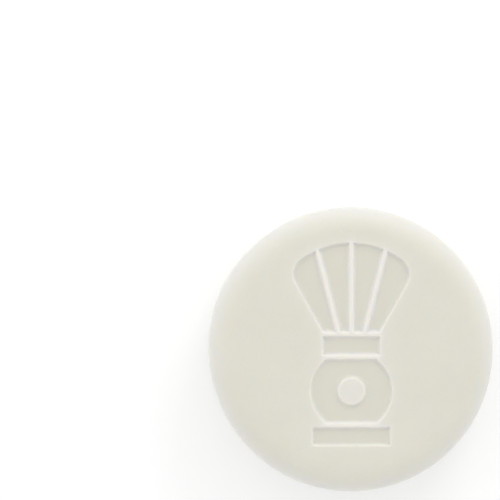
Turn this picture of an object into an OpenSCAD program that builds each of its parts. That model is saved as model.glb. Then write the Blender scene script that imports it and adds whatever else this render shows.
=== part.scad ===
// Puck of hard shaving soap: one pressed disc with soft shoulders, and the
// outline of a shaving brush pressed into its upper face.
// It lies on z = 0 with its axis on Z. The bristles point towards +Y.

/* [Puck] */
// Diameter of the puck
puck_d = 65; // [50:1:90]
// Thickness of the puck
puck_t = 22; // [16:0.5:36]
// Radius of the shoulder around the upper face
top_round = 5; // [2:0.5:6]
// Radius of the shoulder around the underside
base_round = 3.5; // [1:0.5:5]

/* [Pressed brush] */
// Height of the brush as a share of the puck's diameter
brush_share = 0.7; // [0.4:0.01:0.72]
// How far the brush's middle lies above the puck's centre
brush_rise = 1.4; // [0:0.1:2]
// Depth of the pressed areas
press_depth = 0.8; // [0.4:0.1:1.6]
// Width of the raised ribs between the pressed areas
rib_w = 1.05; // [0.5:0.05:1.2]
// Number of tufts in the bristle fan
tufts = 4; // [2:1:5]

/* [Hidden] */
$fn = 144;

soap_white = [0.88, 0.87, 0.82];
puck_r = puck_d / 2;
band_h = puck_t - top_round - base_round;
cut_clear = 1;

// Sizes of the brush, each a share of its height.
brush_h = brush_share * puck_d;
fan_w = 0.572 * brush_h;
fan_corner_r = 0.09 * brush_h;
collar_w = 0.28 * brush_h;
collar_h = 0.09 * brush_h;
grip_r = 0.2 * brush_h;
dot_r = 0.07 * brush_h;
foot_w = 0.38 * brush_h;
foot_h = 0.085 * brush_h;

// Heights on the brush, measured from its middle, from the bristles down.
brush_top = brush_h / 2;
corner_y = 0.345 * brush_h;
fan_base_y = 0.06 * brush_h;
collar_y = fan_base_y - rib_w - collar_h;
grip_top_y = collar_y - rib_w;
foot_y = -brush_h / 2;
grip_base_y = foot_y + foot_h + rib_w;
grip_y = (grip_top_y + grip_base_y) / 2;

// The fan's rounded corners touch its dome from inside, and its flanks touch them.
corner_x = fan_w / 2 - fan_corner_r;
corner_drop = brush_top - corner_y;
dome_r = (corner_x ^ 2 + corner_drop ^ 2 - fan_corner_r ^ 2) / (2 * (corner_drop - fan_corner_r));
dome_y = brush_top - dome_r;
flank_run = corner_x - collar_w / 2;
flank_rise = corner_y - fan_base_y;
flank_angle = atan2(flank_run, flank_rise) + asin(fan_corner_r / norm([flank_run, flank_rise]));
touch_x = corner_x + fan_corner_r * cos(flank_angle);
touch_y = corner_y - fan_corner_r * sin(flank_angle);

// Where the two flanks would meet. The ribs between the tufts spread from it.
fan_focus_y = fan_base_y - collar_w / 2 / tan(flank_angle);
tuft_angle = 2 * flank_angle / tufts;

// Half of the puck's section, from its axis to its rim.
module puck_section() {
    square([puck_r - top_round, puck_t]);
    square([puck_r - base_round, puck_t - top_round]);
    translate([0, base_round]) square([puck_r, band_h]);
    translate([puck_r - top_round, puck_t - top_round]) circle(top_round);
    translate([puck_r - base_round, base_round]) circle(base_round);
}

// A bar of a given width and height, centred on the brush's centre line.
module bar(width, height, y) {
    translate([-width / 2, y]) square([width, height]);
}

// The fan of bristles in outline: straight flanks, rounded corners and a low dome.
module fan_outline() {
    polygon([
        [collar_w / 2, fan_base_y],
        [touch_x, touch_y],
        [corner_x, corner_y],
        [-corner_x, corner_y],
        [-touch_x, touch_y],
        [-collar_w / 2, fan_base_y]
    ]);
    for (side = [-1, 1])
        translate([side * corner_x, corner_y]) circle(fan_corner_r);
    translate([0, dome_y])
        intersection() {
            circle(dome_r);
            polygon([
                [0, 0],
                2 * [corner_x, corner_y - dome_y],
                2 * [-corner_x, corner_y - dome_y]
            ]);
        }
}

// The fan split into tufts by ribs.
module fan() {
    difference() {
        fan_outline();
        for (i = [1:tufts - 1])
            translate([0, fan_focus_y])
                rotate(i * tuft_angle - flank_angle)
                    bar(rib_w, brush_h, 0);
    }
}

// The round grip, cut level above and below, around a raised dot.
module grip() {
    difference() {
        intersection() {
            translate([0, grip_y]) circle(grip_r);
            bar(2 * grip_r, grip_top_y - grip_base_y, grip_base_y);
        }
        translate([0, grip_y]) circle(dot_r);
    }
}

// The whole brush: fan, collar, grip and foot, a rib apart.
module brush() {
    fan();
    bar(collar_w, collar_h, collar_y);
    grip();
    bar(foot_w, foot_h, foot_y);
}

module soap_puck() {
    color(soap_white)
        difference() {
            rotate_extrude() puck_section();
            translate([0, brush_rise, puck_t - press_depth])
                linear_extrude(press_depth + cut_clear) brush();
        }
}

soap_puck();
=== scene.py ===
"""A pressed puck of hard shaving soap that lies on a pale floor, seen from straight above."""
import math

import bpy
import numpy as np
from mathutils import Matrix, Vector, geometry, kdtree, noise


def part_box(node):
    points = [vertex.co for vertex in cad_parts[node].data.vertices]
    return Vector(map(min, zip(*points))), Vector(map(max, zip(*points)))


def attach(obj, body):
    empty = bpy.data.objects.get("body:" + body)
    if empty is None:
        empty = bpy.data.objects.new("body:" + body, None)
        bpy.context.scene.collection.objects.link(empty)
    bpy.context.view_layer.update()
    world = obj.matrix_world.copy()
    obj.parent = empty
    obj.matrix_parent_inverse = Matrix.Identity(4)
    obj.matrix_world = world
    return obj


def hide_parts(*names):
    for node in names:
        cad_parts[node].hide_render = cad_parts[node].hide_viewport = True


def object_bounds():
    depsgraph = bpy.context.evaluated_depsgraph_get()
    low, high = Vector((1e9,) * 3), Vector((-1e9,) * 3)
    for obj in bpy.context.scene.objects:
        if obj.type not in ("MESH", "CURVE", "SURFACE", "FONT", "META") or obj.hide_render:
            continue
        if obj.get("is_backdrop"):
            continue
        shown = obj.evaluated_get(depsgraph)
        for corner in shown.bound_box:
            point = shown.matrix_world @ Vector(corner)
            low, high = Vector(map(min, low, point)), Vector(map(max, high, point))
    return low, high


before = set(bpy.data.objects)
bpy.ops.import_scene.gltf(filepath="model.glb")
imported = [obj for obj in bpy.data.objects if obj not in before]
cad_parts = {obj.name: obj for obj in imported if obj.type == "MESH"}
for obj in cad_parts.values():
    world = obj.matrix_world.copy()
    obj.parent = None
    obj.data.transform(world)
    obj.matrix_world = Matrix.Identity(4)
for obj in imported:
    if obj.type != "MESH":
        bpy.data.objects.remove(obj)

CAD_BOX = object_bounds()
MM = 0.001

# The puck's size and place come from the frame.
LOW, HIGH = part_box("soap_puck")
PUCK_D = HIGH.x - LOW.x
PUCK_R = PUCK_D / 2
PUCK_T = HIGH.z - LOW.z

# Shoulders: each is a superellipse, so it leaves the flat face softly.
TOP_RUN, TOP_DROP = 6.3 * MM, 5.0 * MM
BASE_RUN, BASE_DROP = 4.3 * MM, 3.5 * MM
SHOULDER_POWER = 2.25
# The side tapers from the seam where the two halves of the press met.
SEAM_Z = PUCK_T / 2
SEAM_PROUD = 0.10 * MM
SEAM_HALF_W = 0.35 * MM
SIDE_TAPER = math.radians(1.0)

# The pressed brush, laid out as in the part's source: shares of the brush's height.
BRUSH_H = 0.7 * PUCK_D
BRUSH_RISE = 1.4 * MM
RIB_W = 1.05 * MM
TUFTS = 4
FAN_W, FAN_CORNER_R = 0.572 * BRUSH_H, 0.09 * BRUSH_H
FAN_CORNER_Y, FAN_BASE_Y = 0.345 * BRUSH_H, 0.06 * BRUSH_H
COLLAR_W, COLLAR_H = 0.28 * BRUSH_H, 0.09 * BRUSH_H
GRIP_R, DOT_R = 0.2 * BRUSH_H, 0.07 * BRUSH_H
FOOT_W, FOOT_H = 0.38 * BRUSH_H, 0.085 * BRUSH_H

# The wall of a pressed area in section: a rounded lip, a drafted wall and a rounded foot.
PRESS_DEPTH = 0.8 * MM
LIP_R, FOOT_R = 0.34 * MM, 0.62 * MM
DRAFT = math.radians(24)
LIP_RUN, LIP_FALL = LIP_R * math.cos(DRAFT), LIP_R * (1 - math.sin(DRAFT))
FOOT_RUN, FOOT_FALL = FOOT_R * math.cos(DRAFT), FOOT_R * (1 - math.sin(DRAFT))
WALL_RUN = (PRESS_DEPTH - LIP_FALL - FOOT_FALL) * math.tan(DRAFT)
PRESS_RUN = LIP_RUN + WALL_RUN + FOOT_RUN
# Where the lip starts, as a depth inside the outline. The outline runs along the middle of the wall.
LIP_START = -(LIP_RUN + WALL_RUN / 2)

# How finely the outlines are drawn, how far their corners are rounded, and how far and fast they stray.
ARC_POINTS = 64
OUTLINE_STEP = 0.12 * MM
CORNER_BLUR = 0.24 * MM
STRAY, STRAY_LENGTH, STRAY_SEED = 0.05 * MM, 2.5 * MM, 3

# How finely the mesh is made: points round the puck, and rings down its shoulders and its side.
SIDES = 384
TOP_RINGS, BASE_RINGS = 24, 18
ABOVE_RINGS, BELOW_RINGS = 10, 12
SEAM_RINGS, SEAM_REACH = 4, 1.5
# Rows that follow the pressed walls, and the honeycomb of points that fills the two faces.
LIP_ROWS, FOOT_ROWS = 5, 4
ROW_STEP = 0.171 * MM
ROW_SLACK = 0.015 * MM
FILL_STEP = 0.62 * MM
FILL_GAP = 0.20 * MM
BASE_FILL_STEP = 1.5 * MM
HONEYCOMB_RISE = 0.866
# Points closer than this, in millimetres, become one when the faces are filled.
SAME_POINT = 1e-6

# Broad unevenness of the skin: a long wave, and a share of one a third as long.
WAVE_LENGTH, WAVE_DEPTH = 11 * MM, 0.06 * MM
LONG_WAVE, SHORT_WAVE = 0.35, 0.15
# Small knocks on the side, most of them at the seam.
KNOCKS, KNOCK_SEED = 34, 7
KNOCK_SIZE, KNOCK_DEPTH = (1.0 * MM, 2.8 * MM), (0.12 * MM, 0.42 * MM)
KNOCK_BAND = 5.5 * MM
KNOCK_RAGGED, KNOCK_STEEP = 0.5, 2
# A stretch of noise this long fades the seam in and out, between these two of its values.
SEAM_BREAK, SEAM_FADE = 9 * MM, (-0.15, 0.45)

# Where the looks change. Near an outline the raised side is painted lighter, as painted light, and most of
# all on a rib with an outline on either side. The painted light fades out between these depths inside the
# pressed area, whose floor is painted darker, as painted shade in the recess.
PAINTED_LIGHT_REACH = 1.4 * MM
LIP_PAINTED_LIGHT, RIB_GAIN, DOT_PAINTED_LIGHT = 0.45, 2, 0.7
PAINTED_LIGHT_FADE = 0.4 * MM, 1.3 * MM
# The pressed floors are painted darker between these depths: painted shade in the recesses.
PRESSED_SHADE_FADE = 0.2 * MM, 1.2 * MM
DOT_FADE = DOT_R - 0.4 * MM, DOT_R
# The rim and side are painted whiter, a painted sheen, and only the side has drag marks: radii in plan.
RIM_SHEEN_FADE = PUCK_R - 4.5 * MM, PUCK_R - 0.2 * MM
SIDE_FADE = PUCK_R - 2.5 * MM, PUCK_R - 0.6 * MM

# Colours of the soap, and the most that flecks and streaks show over it.
SOAP_PALE, SOAP_DEEP = (0.764, 0.751, 0.670), (0.748, 0.735, 0.651)
# The rim's colour is a painted sheen, whiter than the skin.
RIM_PAINTED_SHEEN = (0.750, 0.742, 0.700)
# The pressed floors' colour is painted shade, and the ribs' colour is painted light.
PRESSED_PAINTED_SHADE, RIB_PAINTED_LIGHT = (0.740, 0.727, 0.640), (0.805, 0.787, 0.750)
FLECK_SOAP, FLECK_SHARE = (0.66, 0.64, 0.53), 0.22
STREAK_SOAP, STREAK_SHARE = (0.69, 0.675, 0.60), 0.3
# How far light wanders inside the soap, how much of it does, and how far each colour gets.
SCATTER, SCATTER_SHARE, SCATTER_RGB = 0.9 * MM, 0.85, (1.0, 0.85, 0.6)
SOAP_IOR, SOAP_ROUGHNESS = 1.46, (0.40, 0.56)
# Noise textures, from broad to fine: features per metre, octaves, and the weight of the finer ones.
CLOUD_NOISE = 110, 4, 0.55
SHEEN_NOISE = 260, 3, 0.5
RIPPLE_NOISE = 420, 2, 0.5
DRAG_NOISE = 1000, 3, 0.6
FLECK_NOISE = 2400, 2, 0.5
GRAIN_NOISE = 2600, 3, 0.6
# The stretch of a noise's values that clouds and sheen use, and the higher ones for flecks and streaks.
USUAL, FLECK_RANGE, STREAK_RANGE = (0.3, 0.7), (0.58, 0.72), (0.48, 0.72)
# Strength and depth of each relief. Drag marks are left as the puck is pushed out of its die, and are
# noise drawn out along Z.
GRAIN_RELIEF, RIPPLE_RELIEF, DRAG_RELIEF = (0.25, 0.02 * MM), (0.5, 0.02 * MM), (1.0, 0.05 * MM)
DRAG_STRETCH = 0.11

# The floor, its own faint glow, and the surround's brightness: overhead, what it gains at the horizon, and
# what it gains on its bright side and loses on the other.
FLOOR_COLOUR, FLOOR_GLOW, FLOOR_SIZE = (0.9, 0.9, 0.9), 0.14, 8.0
FLOOR_ROUGHNESS, FLOOR_GLOSS = 0.9, 0.1
OVERHEAD, HORIZON_GAIN, SIDE_GAIN = 0.82, 0.39, 0.21
UP, BRIGHT_SIDE = (0, 0, 1), (-0.25, 1.0, 0.0)
KEY_PLACE, KEY_SIZE, KEY_POWER = (0.20, 0.46, 0.34), 0.22, 0.4

# The picture: the puck's width, and how far its centre lies from the picture's, as shares of its width.
PUCK_SHARE, PUCK_RIGHT, PUCK_LOW = 0.5664, 0.1995, 0.197
LENS, SENSOR = 200, 36


# ---------------------------------------------------------------- helpers

def smooth_step(value, start, end):
    """0 before start, 1 after end, and a smooth rise between."""
    t = np.clip((value - start) / (end - start), 0, 1)
    return t * t * (3 - 2 * t)


def noise_over(points, length):
    """Smooth noise from -1 to 1 at each point, with features about the given length."""
    return np.array([noise.noise(Vector(point)) for point in points / length])


# ---------------------------------------------------------------- outlines

def arc(centre, radius, start, end, count=ARC_POINTS):
    """Points on an arc from start to end, in radians."""
    turn = np.linspace(start, end, count)
    return np.column_stack([centre[0] + radius * np.cos(turn), centre[1] + radius * np.sin(turn)])


def bar(width, height, y):
    """The corners of a bar on the centre line, with its lower edge at y."""
    half = width / 2
    return np.array([[-half, y], [half, y], [half, y + height], [-half, y + height]])


def clip(outline, point, angle):
    """The part of an outline on the left of the line through point in the direction angle."""
    normal = np.array([-math.sin(angle), math.cos(angle)])
    depth = (outline - point) @ normal
    kept = []
    for i, a in enumerate(depth):
        b = depth[i - 1]
        if (a < 0) != (b < 0):
            kept.append(outline[i - 1] + (outline[i] - outline[i - 1]) * b / (b - a))
        if a >= 0:
            kept.append(outline[i])
    return np.array(kept)


def resampled(outline, step):
    """The closed outline with evenly spaced points, about step apart."""
    closed = np.vstack([outline, outline[:1]])
    lengths = np.concatenate([[0], np.cumsum(np.hypot(*np.diff(closed, axis=0).T))])
    count = round(lengths[-1] / step)
    at = np.arange(count) * lengths[-1] / count
    return np.column_stack([np.interp(at, lengths, closed[:, k]) for k in (0, 1)])


def softened(outline):
    """The outline with its corners rounded by a running mean along it."""
    step = OUTLINE_STEP / 2
    fine = resampled(outline, step)
    reach = round(CORNER_BLUR / step)
    mean = sum(np.roll(fine, k, axis=0) for k in range(-reach, reach + 1)) / (2 * reach + 1)
    return resampled(mean, OUTLINE_STEP)


def wandering(outline):
    """The outline moved a little from side to side, as soap doesn't fill a die quite evenly."""
    stray = [noise.noise_vector(Vector((*point, 0)) / STRAY_LENGTH)[:2] for point in outline]
    return outline + STRAY * np.array(stray)


def fan_outline():
    """Straight flanks, rounded corners and a low dome, and the place and angle where the flanks meet."""
    top = BRUSH_H / 2
    corner = np.array([FAN_W / 2 - FAN_CORNER_R, FAN_CORNER_Y])
    drop = top - corner[1]
    dome_r = (corner[0] ** 2 + drop ** 2 - FAN_CORNER_R ** 2) / (2 * (drop - FAN_CORNER_R))
    dome = np.array([0, top - dome_r])
    run, rise = corner - [COLLAR_W / 2, FAN_BASE_Y]
    flank = math.atan2(run, rise) + math.asin(FAN_CORNER_R / math.hypot(run, rise))
    to_corner = math.atan2(*(corner - dome)[::-1])
    right = np.vstack([[COLLAR_W / 2, FAN_BASE_Y], arc(corner, FAN_CORNER_R, -flank, to_corner)])
    left = right[::-1] * [-1, 1]
    outline = np.vstack([right, arc(dome, dome_r, to_corner, math.pi - to_corner)[1:-1], left])
    focus = np.array([0, FAN_BASE_Y - COLLAR_W / 2 / math.tan(flank)])
    return outline, focus, flank


def tuft_outlines():
    """The fan cut into tufts, a rib apart."""
    outline, focus, flank = fan_outline()
    tufts = []
    for i in range(TUFTS):
        tuft = outline
        for side, edge in ((1, i), (-1, i + 1)):
            if 0 < edge < TUFTS:
                lean = flank - 2 * flank * edge / TUFTS
                across = np.array([math.cos(lean), math.sin(lean)])
                heading = math.pi / 2 + lean + (math.pi if side > 0 else 0)
                tuft = clip(tuft, focus + side * across * RIB_W / 2, heading)
        tufts.append(tuft)
    return tufts


def brush_outlines():
    """Every pressed area's outline, with the pressed side on its left, on the face. The dot's is last."""
    collar_y = FAN_BASE_Y - RIB_W - COLLAR_H
    grip_top = collar_y - RIB_W
    foot_y = -BRUSH_H / 2
    grip_base = foot_y + FOOT_H + RIB_W
    grip_at = np.array([0, (grip_top + grip_base) / 2])
    circle = arc(grip_at, GRIP_R, 0, 2 * math.pi, 4 * ARC_POINTS + 1)[:-1]
    grip = clip(clip(circle, [0, grip_top], math.pi), [0, grip_base], 0)
    dot = arc(grip_at, DOT_R, 2 * math.pi, 0, 2 * ARC_POINTS + 1)[:-1]
    shapes = [*tuft_outlines(), bar(COLLAR_W, COLLAR_H, collar_y), grip, bar(FOOT_W, FOOT_H, foot_y), dot]
    noise.seed_set(STRAY_SEED)
    return [wandering(softened(shape) + [0, BRUSH_RISE]) for shape in shapes]


def gap_to(points, outline):
    """Distance from each point to one outline, positive on the outline's left."""
    tree = kdtree.KDTree(len(outline))
    for i, corner in enumerate(outline):
        tree.insert((*corner, 0), i)
    tree.balance()
    nearest = np.array([tree.find((*point, 0))[1] for point in points])
    found = np.full(len(points), np.inf)
    # The nearest stretch of outline is one of the two that meet at the nearest corner.
    for first in (nearest - 1, nearest):
        start = outline[first]
        along = outline[(first + 1) % len(outline)] - start
        offset = points - start
        share = np.clip((offset * along).sum(axis=1) / (along ** 2).sum(axis=1), 0, 1)
        side = np.sign(along[:, 0] * offset[:, 1] - along[:, 1] * offset[:, 0])
        gap = side * np.hypot(*(offset - share[:, None] * along).T)
        found = np.where(abs(gap) < abs(found), gap, found)
    return found


def depth_inside(points, outlines):
    """Distance from each point to each outline, and to the nearest, positive inside the pressed areas."""
    gaps = np.column_stack([gap_to(points, outline) for outline in outlines])
    depth = gaps[np.arange(len(points)), abs(gaps).argmin(axis=1)]
    return abs(gaps), depth


def press(depth):
    """How far the face is pressed down at a distance inside an outline."""
    run = np.clip(depth - LIP_START, 0, PRESS_RUN)
    lip = LIP_R - np.sqrt(np.maximum(LIP_R ** 2 - run ** 2, 0))
    wall = LIP_FALL + (run - LIP_RUN) / math.tan(DRAFT)
    left = PRESS_RUN - run
    foot = PRESS_DEPTH - FOOT_R + np.sqrt(np.maximum(FOOT_R ** 2 - left ** 2, 0))
    return np.where(run < LIP_RUN, lip, np.where(left > FOOT_RUN, wall, foot))


# ---------------------------------------------------------------- the mesh

def press_levels():
    """The depths inside an outline at which the pressed wall gets a row of points."""
    steep = math.pi / 2 - DRAFT
    lip = [LIP_START + LIP_R * math.sin(steep * k / LIP_ROWS) for k in range(LIP_ROWS + 1)]
    foot_end = LIP_START + PRESS_RUN
    foot = [foot_end - FOOT_R * math.sin(steep * k / FOOT_ROWS) for k in range(FOOT_ROWS, -1, -1)]
    return [lip[0] - FILL_GAP / 2, *lip, *foot, foot[-1] + FILL_GAP / 2]


def wall_rows(outlines):
    """Rows of points that follow the outlines at each level, where no other outline is nearer."""
    found, wanted = [], []
    for outline in outlines:
        ahead = np.roll(outline, -1, axis=0) - np.roll(outline, 1, axis=0)
        left = np.column_stack([-ahead[:, 1], ahead[:, 0]]) / np.hypot(*ahead.T)[:, None]
        for level in press_levels():
            last = None
            for point in outline + left * level:
                if last is None or math.dist(point, last) > ROW_STEP:
                    found.append(point)
                    wanted.append(level)
                    last = point
    found, wanted = np.array(found), np.array(wanted)
    depth = depth_inside(found, outlines)[1]
    return found[np.abs(depth - wanted) < ROW_SLACK]


def honeycomb(radius, step):
    """Evenly packed points inside a circle."""
    rows = int(radius / step / HONEYCOMB_RISE) + 1
    points = [
        (x * step + (row % 2) * step / 2, row * step * HONEYCOMB_RISE)
        for row in range(-rows, rows + 1)
        for x in range(-rows, rows + 1)
    ]
    points = np.array(points)
    return points[np.hypot(*points.T) < radius]


def ring(radius):
    """The points of one ring of the puck, in plan."""
    turn = np.arange(SIDES) * 2 * math.pi / SIDES
    return radius * np.column_stack([np.cos(turn), np.sin(turn)])


def face_plan(radius, outlines):
    """Points of the upper face, its rim first."""
    fill = honeycomb(radius - FILL_STEP / 2, FILL_STEP)
    depth = depth_inside(fill, outlines)[1]
    clear = (depth < LIP_START - FILL_GAP) | (depth > LIP_START + PRESS_RUN + FILL_GAP)
    return np.vstack([ring(radius), wall_rows(outlines), fill[clear]])


def base_plan(radius):
    """Points of the underside, its rim first."""
    return np.vstack([ring(radius), honeycomb(radius - BASE_FILL_STEP / 2, BASE_FILL_STEP)])


def triangles(points):
    """Delaunay triangles over points in plan, each anticlockwise."""
    flat = [Vector((x / MM, y / MM)) for x, y in points]
    made = geometry.delaunay_2d_cdt(flat, [], [], 0, SAME_POINT)
    source = [origins[0] for origins in made[3]]
    faces = []
    for face in made[2]:
        a, b, c = (source[i] for i in face)
        ab, ac = points[b] - points[a], points[c] - points[a]
        faces.append((a, b, c) if ab[0] * ac[1] > ab[1] * ac[0] else (a, c, b))
    return faces


def seam_share(z):
    """1 on the crest of the seam, 0 away from it."""
    return smooth_step(SEAM_HALF_W - abs(z - SEAM_Z), 0, SEAM_HALF_W)


def side_radius(z):
    """The puck's radius at a height on its side, with the fine seam at mid height."""
    return PUCK_R - SEAM_PROUD * (1 - seam_share(z)) - abs(z - SEAM_Z) * math.tan(SIDE_TAPER)


def shoulder(z, run, drop, count):
    """Radius and height down a shoulder, from the flat face to the side, which it meets at height z."""
    edge, power = side_radius(z) - run, 2 / SHOULDER_POWER
    for k in range(count + 1):
        turn = math.pi / 2 * k / count
        yield edge + run * math.sin(turn) ** power, z + drop * math.cos(turn) ** power


def section():
    """Radius and height of every ring, from the upper face's rim down to the underside's."""
    top, base = PUCK_T - TOP_DROP, BASE_DROP
    rings = list(shoulder(top, TOP_RUN, TOP_DROP, TOP_RINGS))
    last = round(SEAM_REACH * SEAM_RINGS)
    seam = [SEAM_Z + SEAM_HALF_W * k / SEAM_RINGS for k in range(last, -last - 1, -1)]
    above = np.linspace(top, seam[0], ABOVE_RINGS + 2)[1:-1]
    below = np.linspace(seam[-1], base, BELOW_RINGS + 2)[1:-1]
    rings += [(side_radius(z), z) for z in (*above, *seam, *below)]
    rings += list(shoulder(base, BASE_RUN, -BASE_DROP, BASE_RINGS))[::-1]
    return rings


def puck_mesh():
    """One closed mesh: the pressed face, the rings of the side and the underside."""
    rings = section()
    outlines = brush_outlines()
    face = face_plan(rings[0][0], outlines)
    gaps, depth = depth_inside(face, outlines)
    base = base_plan(rings[-1][0])
    inner = rings[1:-1]
    plans = [face, *(ring(radius) for radius, z in inner), base]
    heights = [PUCK_T - press(depth), *(np.full(SIDES, z) for radius, z in inner), np.zeros(len(base))]
    points = np.column_stack([np.vstack(plans), np.concatenate(heights)])
    base_start = len(points) - len(base)
    starts = [0, *(len(face) + SIDES * k for k in range(len(inner))), base_start]
    faces = triangles(face)
    for upper, lower in zip(starts, starts[1:]):
        for i in range(SIDES):
            j = (i + 1) % SIDES
            faces.append((upper + i, lower + i, lower + j, upper + j))
    faces += [tuple(base_start + i for i in f[::-1]) for f in triangles(base)]
    mesh = bpy.data.meshes.new("soap_puck_skin")
    mesh.from_pydata(points.tolist(), [], faces)
    mesh.polygons.foreach_set("use_smooth", [True] * len(mesh.polygons))
    mesh.update()
    radius = np.hypot(*points.T[:2])
    # The pressed floors are painted darker: painted shade in the recesses.
    store(mesh, "pressed", smooth_step(depth, *PRESSED_SHADE_FADE))
    # Ribs, lips, the dot and the feet of the walls are painted lighter: painted light.
    store(mesh, "painted_light", painted_light_share(face, gaps, depth, outlines[-1]))
    # The rim is painted whiter: a painted sheen.
    store(mesh, "rim", smooth_step(radius, *RIM_SHEEN_FADE))
    store(mesh, "side", smooth_step(radius, *SIDE_FADE))
    return mesh


def painted_light_share(face, gaps, depth, dot):
    """How much painted light each point of the upper face gets: 1 on a rib, less at a lip and on the dot,
    0 elsewhere.
    """
    near = np.exp(-gaps / PAINTED_LIGHT_REACH).sum(axis=1)
    painted_light = np.minimum(LIP_PAINTED_LIGHT * near + RIB_GAIN * np.maximum(near - 1, 0), 1)
    from_dot = np.hypot(*(face - dot.mean(axis=0)).T)
    painted_light = np.maximum(painted_light, DOT_PAINTED_LIGHT * (1 - smooth_step(from_dot, *DOT_FADE)))
    return (1 - smooth_step(depth, *PAINTED_LIGHT_FADE)) * painted_light


def store(mesh, name, values):
    """Keeps a number on each of the mesh's first vertices, and 0 on the others."""
    padded = np.zeros(len(mesh.vertices))
    padded[:len(values)] = values
    mesh.attributes.new(name, "FLOAT", "POINT").data.foreach_set("value", padded)


def knocks():
    """The place, size and depth of each small knock on the side."""
    draw = np.random.default_rng(KNOCK_SEED)
    for _ in range(KNOCKS):
        turn, height = draw.uniform(0, 2 * math.pi), draw.normal(SEAM_Z, KNOCK_BAND)
        height = min(max(height, BASE_DROP / 2), PUCK_T - TOP_DROP)
        place = np.array([PUCK_R * math.cos(turn), PUCK_R * math.sin(turn), height])
        yield place, draw.uniform(*KNOCK_SIZE), draw.uniform(*KNOCK_DEPTH)


def wear(mesh):
    """Sinks the skin a little, unevenly, as pressing and handling leave it. It never grows."""
    points, normals = np.empty((2, len(mesh.vertices), 3))
    mesh.vertices.foreach_get("co", points.ravel())
    mesh.vertices.foreach_get("normal", normals.ravel())
    wave = LONG_WAVE * noise_over(points, WAVE_LENGTH) + SHORT_WAVE * noise_over(points, WAVE_LENGTH / 3)
    sunk = WAVE_DEPTH * (LONG_WAVE + SHORT_WAVE + wave)
    on_side = np.hypot(*points.T[:2]) > PUCK_R / 2
    broken = smooth_step(noise_over(points, SEAM_BREAK), *SEAM_FADE)
    sunk += SEAM_PROUD * broken * seam_share(points[:, 2]) * on_side
    ragged = 1 + KNOCK_RAGGED * noise_over(points, KNOCK_SIZE[0])
    for place, size, depth in knocks():
        gap = np.linalg.norm(points - place, axis=1) / size * ragged
        sunk += depth * np.exp(-KNOCK_STEEP * gap * gap)
    # Nothing sinks where the puck rests on the floor.
    lift = np.minimum(1, points[:, 2] / BASE_DROP)
    points -= normals * (sunk * lift)[:, None]
    mesh.vertices.foreach_set("co", points.ravel())
    mesh.update()


# ---------------------------------------------------------------- the material

def node_of(tree, kind, **inputs):
    """A new node with its inputs set by name."""
    made = tree.nodes.new(kind)
    for name, value in inputs.items():
        made.inputs[name.replace("_", " ")].default_value = value
    return made


def ranged(tree, source, low, high, start=0.0, end=1.0):
    """A value mapped from start to end onto low to high."""
    node = node_of(tree, "ShaderNodeMapRange", To_Min=low, To_Max=high, From_Min=start, From_Max=end)
    tree.links.new(source, node.inputs["Value"])
    return node.outputs["Result"]


def computed(tree, operation, one, other):
    """The sum or product of two values."""
    node = tree.nodes.new("ShaderNodeMath")
    node.operation = operation
    tree.links.new(one, node.inputs[0])
    tree.links.new(other, node.inputs[1])
    return node.outputs["Value"]


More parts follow.
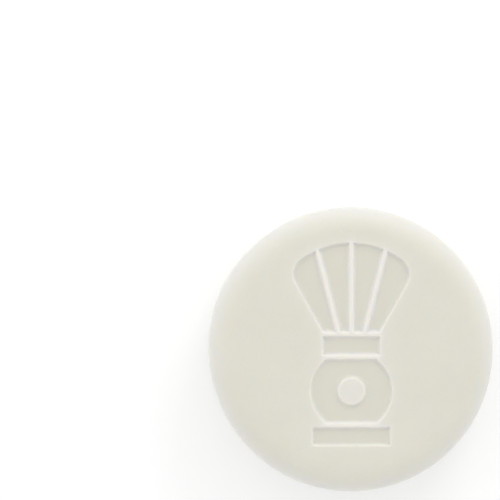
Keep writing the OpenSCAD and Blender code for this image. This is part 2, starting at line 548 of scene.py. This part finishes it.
def soap():
    """Hard pressed soap: dense and waxy, a little translucent, faintly clouded, with a fine grain, and
    with painted light on its ribs, painted shade on its pressed floors and a painted sheen on its rim.
    """
    material = bpy.data.materials.new("pressed_soap")
    material.use_nodes = True
    tree = material.node_tree
    shader = tree.nodes["Principled BSDF"]
    link = tree.links.new
    place = tree.nodes.new("ShaderNodeTexCoord").outputs["Object"]

    def noise_at(settings, at=place):
        scale, detail, rough = settings
        texture = node_of(tree, "ShaderNodeTexNoise", Scale=scale, Detail=detail, Roughness=rough)
        link(at, texture.inputs["Vector"])
        return texture.outputs["Fac"]

    def bump(height, strength, depth, under=None):
        made = node_of(tree, "ShaderNodeBump", Strength=strength, Distance=depth)
        link(height, made.inputs["Height"])
        if under:
            link(under, made.inputs["Normal"])
        return made.outputs["Normal"]

    def blended(share, one, other):
        mix = tree.nodes.new("ShaderNodeMix")
        mix.data_type = "RGBA"
        link(share, mix.inputs["Factor"])
        for socket, colour in (("A", one), ("B", other)):
            if isinstance(colour, tuple):
                mix.inputs[socket].default_value = (*colour, 1)
            else:
                link(colour, mix.inputs[socket])
        return mix.outputs["Result"]

    def stored(name):
        attribute = tree.nodes.new("ShaderNodeAttribute")
        attribute.attribute_name = name
        return attribute.outputs["Fac"]

    along = node_of(tree, "ShaderNodeMapping", Scale=(1, 1, DRAG_STRETCH))
    link(place, along.inputs["Vector"])
    drag = computed(tree, "MULTIPLY", noise_at(DRAG_NOISE, along.outputs["Vector"]), stored("side"))

    clouds = ranged(tree, noise_at(CLOUD_NOISE), 0, 1, *USUAL)
    flecks = ranged(tree, noise_at(FLECK_NOISE), 0, FLECK_SHARE, *FLECK_RANGE)
    streaks = ranged(tree, drag, 0, STREAK_SHARE, *STREAK_RANGE)
    # The rim is painted whiter: a painted sheen.
    skin = blended(stored("rim"), blended(clouds, SOAP_DEEP, SOAP_PALE), RIM_PAINTED_SHEEN)
    skin = blended(flecks, blended(streaks, skin, STREAK_SOAP), FLECK_SOAP)
    # Ribs, lips and the dot are painted lighter: painted light.
    with_painted_light = blended(stored("painted_light"), skin, RIB_PAINTED_LIGHT)
    # The pressed floors are painted darker: painted shade in the recesses.
    link(blended(stored("pressed"), with_painted_light, PRESSED_PAINTED_SHADE), shader.inputs["Base Color"])

    shader.inputs["Subsurface Weight"].default_value = SCATTER_SHARE
    shader.inputs["Subsurface Radius"].default_value = SCATTER_RGB
    shader.inputs["Subsurface Scale"].default_value = SCATTER
    shader.inputs["IOR"].default_value = SOAP_IOR
    link(ranged(tree, noise_at(SHEEN_NOISE), *SOAP_ROUGHNESS, *USUAL), shader.inputs["Roughness"])

    relief = bump(noise_at(GRAIN_NOISE), *GRAIN_RELIEF)
    relief = bump(noise_at(RIPPLE_NOISE), *RIPPLE_RELIEF, relief)
    link(bump(drag, *DRAG_RELIEF, relief), shader.inputs["Normal"])
    return material


def paper():
    """The matt pale floor."""
    material = bpy.data.materials.new("pale_floor")
    material.use_nodes = True
    shader = material.node_tree.nodes["Principled BSDF"]
    shader.inputs["Base Color"].default_value = (*FLOOR_COLOUR, 1)
    shader.inputs["Roughness"].default_value = FLOOR_ROUGHNESS
    shader.inputs["Specular IOR Level"].default_value = FLOOR_GLOSS
    shader.inputs["Emission Color"].default_value = (1, 1, 1, 1)
    shader.inputs["Emission Strength"].default_value = FLOOR_GLOW
    return material


# ---------------------------------------------------------------- the scene

def piece(name, mesh, material):
    """An object made of a mesh and one material."""
    mesh.materials.append(material)
    made = bpy.data.objects.new(name, mesh)
    bpy.context.scene.collection.objects.link(made)
    return made


def floor_mesh():
    """A square of floor under the puck."""
    mesh = bpy.data.meshes.new("floor")
    half = FLOOR_SIZE / 2
    corners = [(-half, -half, 0), (half, -half, 0), (half, half, 0), (-half, half, 0)]
    mesh.from_pydata(corners, [], [(0, 1, 2, 3)])
    return mesh


def softbox(name, place, size, power):
    """A square area light that faces the puck and isn't seen itself."""
    lamp = bpy.data.lights.new(name, "AREA")
    lamp.shape, lamp.size, lamp.energy = "SQUARE", size, power
    made = bpy.data.objects.new(name, lamp)
    made.visible_camera = False
    made.location = place
    made.rotation_mode = "QUATERNION"
    made.rotation_quaternion = (Vector((0, 0, SEAM_Z)) - Vector(place)).to_track_quat("-Z", "Y")
    bpy.context.scene.collection.objects.link(made)


def studio():
    """A white surround, brighter at the horizon and towards the picture's top, and a low softbox there."""
    world = bpy.data.worlds.new("studio")
    world.use_nodes = True
    tree = world.node_tree
    background = tree.nodes["Background"]
    background.inputs["Color"].default_value = (1, 1, 1, 1)
    direction = tree.nodes.new("ShaderNodeTexCoord").outputs["Generated"]

    def towards(axis):
        share = tree.nodes.new("ShaderNodeVectorMath")
        share.operation = "DOT_PRODUCT"
        share.inputs[1].default_value = Vector(axis).normalized()
        tree.links.new(direction, share.inputs[0])
        return share.outputs["Value"]

    by_height = ranged(tree, towards(UP), OVERHEAD + HORIZON_GAIN, OVERHEAD)
    by_side = ranged(tree, towards(BRIGHT_SIDE), -SIDE_GAIN, SIDE_GAIN, -1.0, 1.0)
    tree.links.new(computed(tree, "ADD", by_height, by_side), background.inputs["Strength"])
    bpy.context.scene.world = world
    bpy.context.scene.view_settings.view_transform = "Standard"
    softbox("key", KEY_PLACE, KEY_SIZE, KEY_POWER)


def camera():
    """Straight above the floor, with the puck low on the right of the picture."""
    lens = bpy.data.cameras.new("camera")
    lens.lens, lens.sensor_width = LENS, SENSOR
    view_w = PUCK_D / PUCK_SHARE
    away = view_w * LENS / SENSOR
    made = bpy.data.objects.new("camera", lens)
    made.location = (-PUCK_RIGHT * view_w, PUCK_LOW * view_w, SEAM_Z + away)
    bpy.context.scene.collection.objects.link(made)
    bpy.context.scene.camera = made


camera()
studio()
floor = piece("floor", floor_mesh(), paper())
floor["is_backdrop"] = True

skin = puck_mesh()
wear(skin)
puck = piece("pressed_soap_puck", skin, soap())
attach(puck, "root")
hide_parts("soap_puck")

boxes = {"cad": CAD_BOX, "visual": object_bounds()}
{name: [list(corner) for corner in box] for name, box in boxes.items()}
